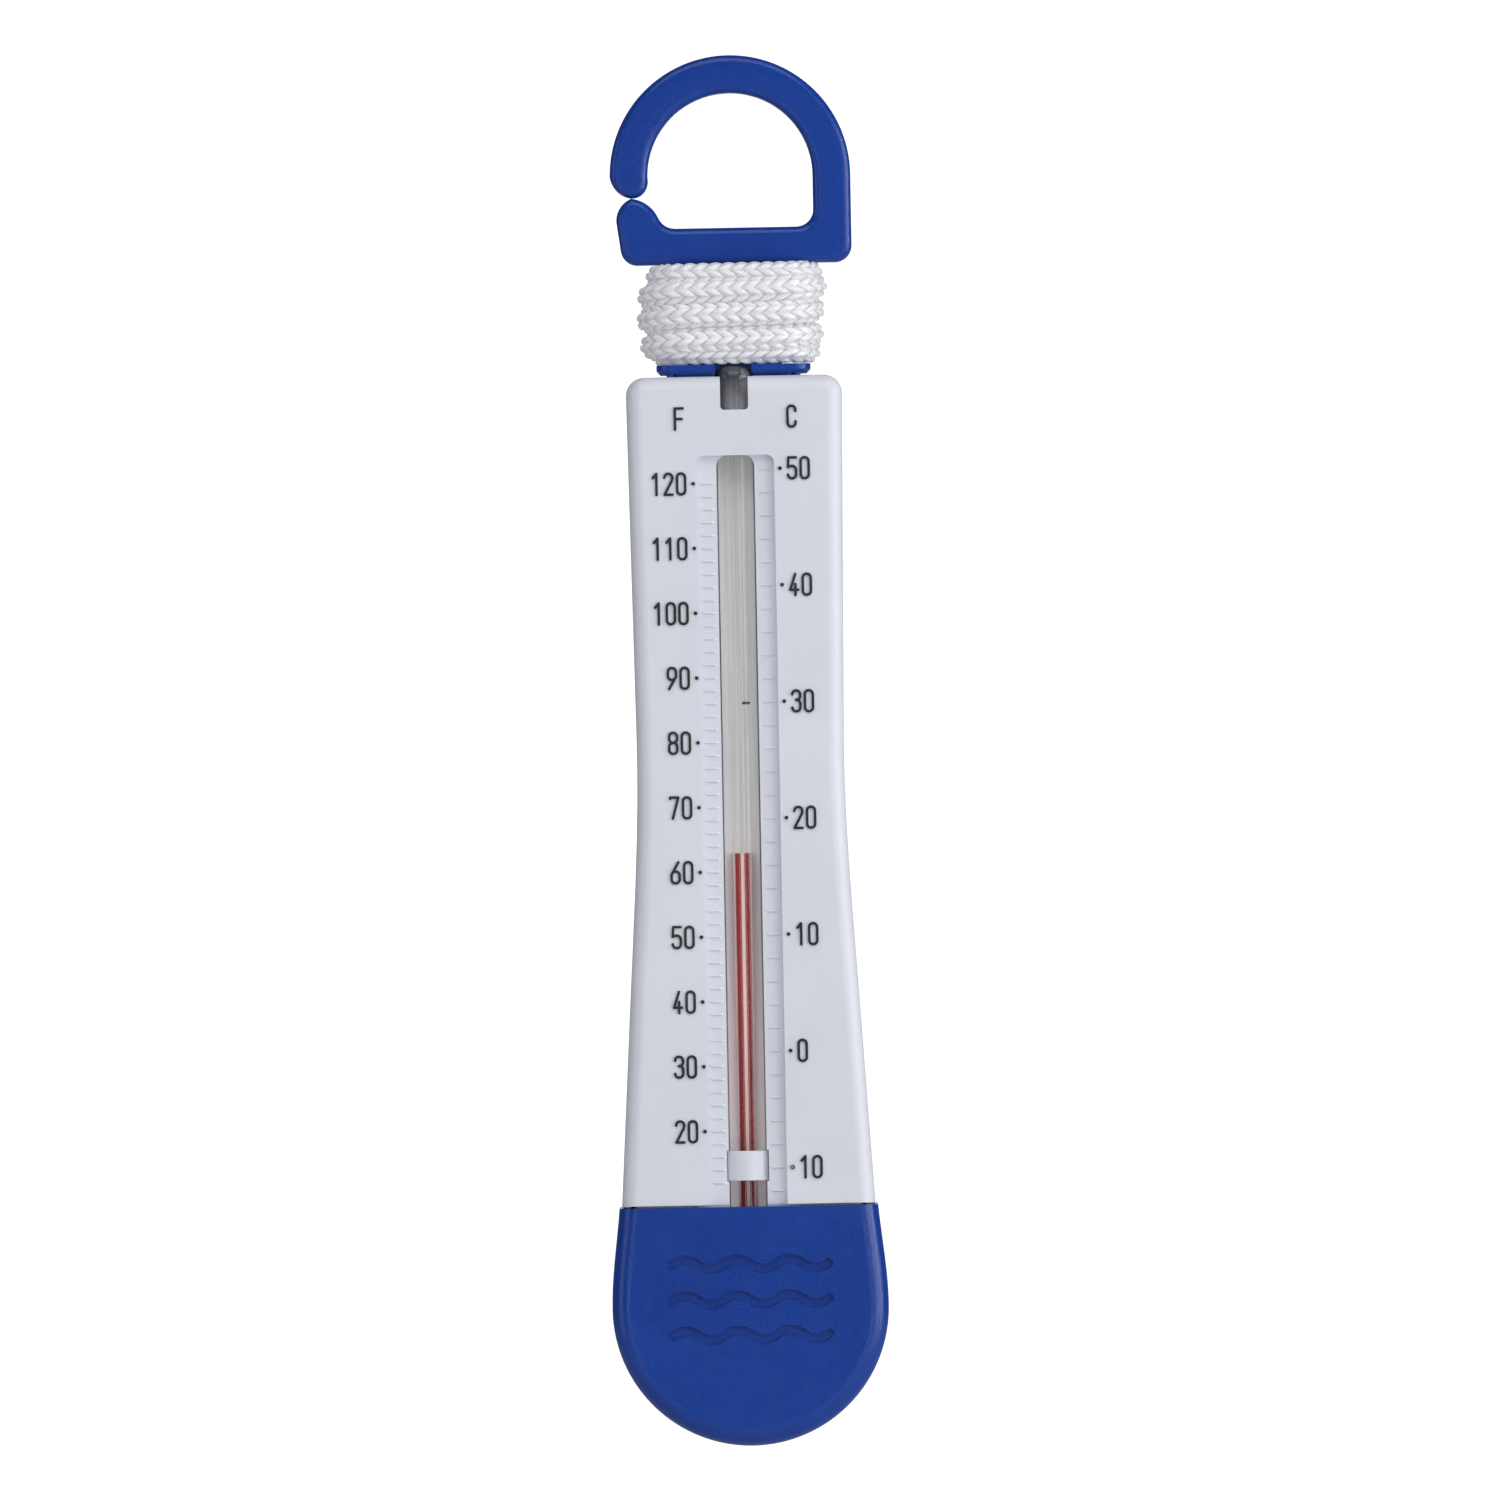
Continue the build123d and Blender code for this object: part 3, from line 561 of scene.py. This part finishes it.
OPAL_TOP = 118.6
OPAL_BOTTOM = 28.0
OPAL_HALF = 1.9
OPAL_SETBACK = 0.8
OPAL_THICKNESS = 0.1
OPAL_BOW = 0.12
OPAL_STEPS = 12
OPAL_RAMP_LENGTH = 0.1
STREAK_SQUEEZE = 0.015
MARK_HEIGHT = 88.1
MARK_X = 0.42
MARK_HALF_WIDTH = 0.26
MARK_HALF_HEIGHT = 0.16
outline = rounded_end(BULB_RADIUS, BULB_BOTTOM, BULB_ROUND, -1)
outline += [(BULB_RADIUS, BULB_TOP), (TUBE_RADIUS, BULB_TOP + 1)]
outline += [(TUBE_RADIUS, height) for height in (28, 40, 60, 80, 100, OPAL_TOP, SEAL_BOTTOM)]
outline += [(AXIS_GAP, SEAL_BOTTOM)]
glass = turned("glass_tube", outline, glass_material(), crease=CREASE)
glass.visible_shadow = False
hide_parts("glass_stem")
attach(glass, "case")


def sealed_material():
    """Sealed end of the glass: grey, with painted shade that darkens it towards the top and a painted
    highlight, a pale patch, low on the right.
    """
    look = Look("sealed_glass")
    place = look.node("SeparateXYZ", Vector=look.object_place)
    above_seam = look.math("SUBTRACT", place.outputs["Z"], at(0, 0, SEAL_BOTTOM).z)
    rise = look.math("DIVIDE", above_seam, (TUBE_TOP - SEAL_BOTTOM) * MM)
    # Painted shade: darker towards the top of the sealed end.
    shade = look.ramp(rise, [(0.45, linear(138, 138, 142)), (0.85, linear(70, 71, 78))])
    # Painted highlight: a pale patch low on the right, broken up by noise.
    painted_gleam_noise = look.noise(900, detail=3.0)
    right = look.math("MULTIPLY", place.outputs["X"], 450.0)
    bright = look.math("ADD", look.math("SUBTRACT", painted_gleam_noise, rise), right)
    share = look.ramp(bright, [(0.0, 0.0), (0.6, 0.7)])
    look.to("Base Color", look.mix(share, shade, linear(196, 196, 198)))
    look.set(Roughness=0.16, IOR=1.5)
    look.bump(look.noise(500, detail=1.0), 0.00003)
    return look.material


seal_outline = [(AXIS_GAP, SEAL_BOTTOM), (TUBE_RADIUS, SEAL_BOTTOM)]
seal_outline += rounded_end(TUBE_RADIUS, TUBE_TOP, TUBE_ROUND, 1)[::-1]
seal = turned("tube_sealed_end", seal_outline, sealed_material(), crease=CREASE)
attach(seal, "case")


def opal_mesh():
    """A thin white strip set in the glass behind the bore, bent a little round it."""
    points = []
    for height in (OPAL_BOTTOM, OPAL_TOP):
        for layer in (0.0, OPAL_THICKNESS):
            for step in range(OPAL_STEPS + 1):
                share = 2 * step / OPAL_STEPS - 1
                side = 1 if layer == 0 else -1
                y = TUBE_Y + OPAL_SETBACK + layer - OPAL_BOW * share * share
                points.append(at(OPAL_HALF * share * side, y, height))
    around = 2 * (OPAL_STEPS + 1)
    faces = grid_faces(2, around)
    faces.append(tuple(reversed(range(around))))
    faces.append(tuple(range(around, 2 * around)))
    return points, faces


opal = mesh_piece("tube_opal", *opal_mesh(), opal_material(), smooth=False)
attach(opal, "case")


def spirit_material():
    """Red spirit: two dark bands with a painted highlight, a paler thread of light, between them and
    painted pale edges outside them, set by distance from x = 0.
    """
    look = Look("red_spirit")
    across = look.node("SeparateXYZ", Vector=look.object_place).outputs["X"]
    offset = look.math("MULTIPLY", look.math("ABSOLUTE", across), 1 / MM)
    # Painted highlight: the pale pink thread down the middle and the pale edges stand in for light on the
    # spirit.
    dark = linear(158, 58, 56)
    pale = linear(250, 216, 214)
    colour = look.ramp(offset, [(0.13, pale), (0.19, dark), (0.63, dark), (0.7, pale)])
    look.to("Base Color", colour)
    look.set(Roughness=0.35, IOR=1.36)
    return look.material


SPIRIT = spirit_material()
SPIRIT_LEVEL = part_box("spirit_column")[1].z / MM + EYE_HEIGHT
SPIRIT_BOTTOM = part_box("spirit_column")[0].z / MM + EYE_HEIGHT
thread_outline = [(AXIS_GAP, SPIRIT_BOTTOM), (SPIRIT_RADIUS, SPIRIT_BOTTOM)]
thread_outline += [(SPIRIT_RADIUS, SPIRIT_LEVEL), (AXIS_GAP, SPIRIT_LEVEL)]
column = turned("spirit_thread", thread_outline, SPIRIT, around=32)
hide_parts("spirit_column")
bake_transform(column)
paint(SPIRIT, "bulb_spirit")

# ---------------------------------------------------------------- bow of the clip

CLIP_RADIUS = 14.3
BAND = 4.5
CLIP_HALF_DEPTH = 2.5
CLIP_EDGE = 0.9
HINGE_ANGLE = 60.0
TIP_STRETCH = 0.24
TIP_SKEW = 0.4
BOW_STEPS = 80
TIP_STEPS = 16


def rounded_section(half_width, half_depth, corner, steps=6):
    """(across, depth) pairs round a rectangle with rounded corners."""
    corner = min(corner, half_width * 0.999, half_depth * 0.999)
    made = []
    for quarter, (side, front) in enumerate(((1, 1), (-1, 1), (-1, -1), (1, -1))):
        for index in range(steps + 1):
            angle = math.pi / 2 * (quarter + index / steps)
            made.append((
                side * (half_width - corner) + corner * math.cos(angle),
                front * (half_depth - corner) + corner * math.sin(angle),
            ))
    return made


def bow_mesh():
    """The bow: its rounded section swept round the eye, drawn in to a round tip."""
    middle = CLIP_RADIUS - BAND / 2
    tip_round = BAND / 2
    tip_reach = tip_round + TIP_STRETCH
    stations = []
    for index in range(BOW_STEPS + 1):
        angle = math.radians(HINGE_ANGLE + (180 - HINGE_ANGLE) * index / BOW_STEPS)
        stations.append((angle, tip_round, 0.0))
    for index in range(1, TIP_STEPS + 1):
        turn = math.pi / 2 * index / TIP_STEPS
        reach = tip_reach * math.sin(turn)
        stations.append((math.pi, max(tip_round * math.cos(turn), 0.01), reach))
    points = []
    for angle, half_width, reach in stations:
        left = tip_reach - reach
        sunk = CLIP_EDGE - math.sqrt(max(CLIP_EDGE ** 2 - max(CLIP_EDGE - left, 0.0) ** 2, 0.0))
        for across, depth in rounded_section(half_width, CLIP_HALF_DEPTH - sunk, CLIP_EDGE):
            radius = middle + across
            points.append(Vector((
                radius * math.cos(angle) + TIP_SKEW * reach / tip_reach,
                depth,
                radius * math.sin(angle) - reach,
            )) * MM)
    around = len(points) // len(stations)
    faces = grid_faces(len(stations), around)
    faces.append(tuple(range(around)))
    faces.append(tuple(reversed(range((len(stations) - 1) * around, len(stations) * around))))
    return points, faces


bow = mesh_piece("clip_bow_sprung", *bow_mesh(), BLUE, crease=CREASE)
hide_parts("clip_arm")
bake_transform(bow)

# ---------------------------------------------------------------- studio

FLOOR_HEIGHT = -0.3


def make_stage():
    """Pale floor with a white screen behind it."""
    look = Look("pale_floor")
    look.to("Base Color", look.ramp(look.noise(3), [(0.3, grey(0.86)[:3]), (0.7, grey(0.9)[:3])]))
    look.set(Roughness=0.8)
    floor = mesh_piece(
        "floor",
        [(-4, -4, FLOOR_HEIGHT), (4, -4, FLOOR_HEIGHT), (4, 4, FLOOR_HEIGHT), (-4, 4, FLOOR_HEIGHT)],
        [(0, 1, 2, 3)],
        look.material,
        smooth=False,
    )
    white = Look("white_screen")
    white.to("Base Color", white.ramp(white.noise(3), [(0.3, grey(0.88)[:3]), (0.7, grey(0.9)[:3])]))
    white.set(Emission_Color=grey(1.0), Emission_Strength=1.0)
    screen = mesh_piece(
        "screen",
        [(-0.4, 4.2, -0.5), (0.4, 4.2, -0.5), (0.4, 4.2, 0.4), (-0.4, 4.2, 0.4)],
        [(0, 1, 2, 3)],
        white.material,
        smooth=False,
    )


def soft_box(name, place, size, radiance, aim=(0, 0, -0.07)):
    """A rectangular studio light of a given brightness to look at."""
    data = bpy.data.lights.new(name, "AREA")
    data.shape = "RECTANGLE"
    data.size, data.size_y = size
    data.energy = radiance * math.pi * size[0] * size[1]
    lamp = bpy.data.objects.new(name, data)
    bpy.context.scene.collection.objects.link(lamp)
    lamp.location = place
    lamp.visible_camera = False
    lamp.rotation_euler = (Vector(aim) - Vector(place)).to_track_quat("-Z", "Y").to_euler()


def make_lights():
    """Soft light from the right and above, a thin strip far right, and weaker ones left and in front."""
    world = bpy.data.worlds.new("studio")
    world.use_nodes = True
    world.node_tree.nodes["Background"].inputs["Color"].default_value = (0.93, 0.95, 1.0, 1.0)
    world.node_tree.nodes["Background"].inputs["Strength"].default_value = 0.12
    bpy.context.scene.world = world
    soft_box("right", (0.98, -0.69, 0.0), (0.8, 0.9), 2.85)
    soft_box("left", (-0.99, -0.48, 0.0), (0.5, 0.8), 1.0)
    soft_box("right_edge", (1.2, -0.25, 0.0), (0.06, 0.9), 17.0)
    soft_box("overhead", (0.0, -0.8, 0.95), (1.4, 1.0), 1.75)
    soft_box("front", (0.0, -1.3, 0.018), (0.12, 0.17), 1.6)
    soft_box("front_right", (0.42, -1.25, -0.08), (0.2, 0.4), 2.6)
    soft_box("front_left", (-0.42, -1.25, -0.08), (0.18, 0.4), 2.4)


make_stage()
make_lights()
bpy.context.scene.view_settings.view_transform = "Standard"
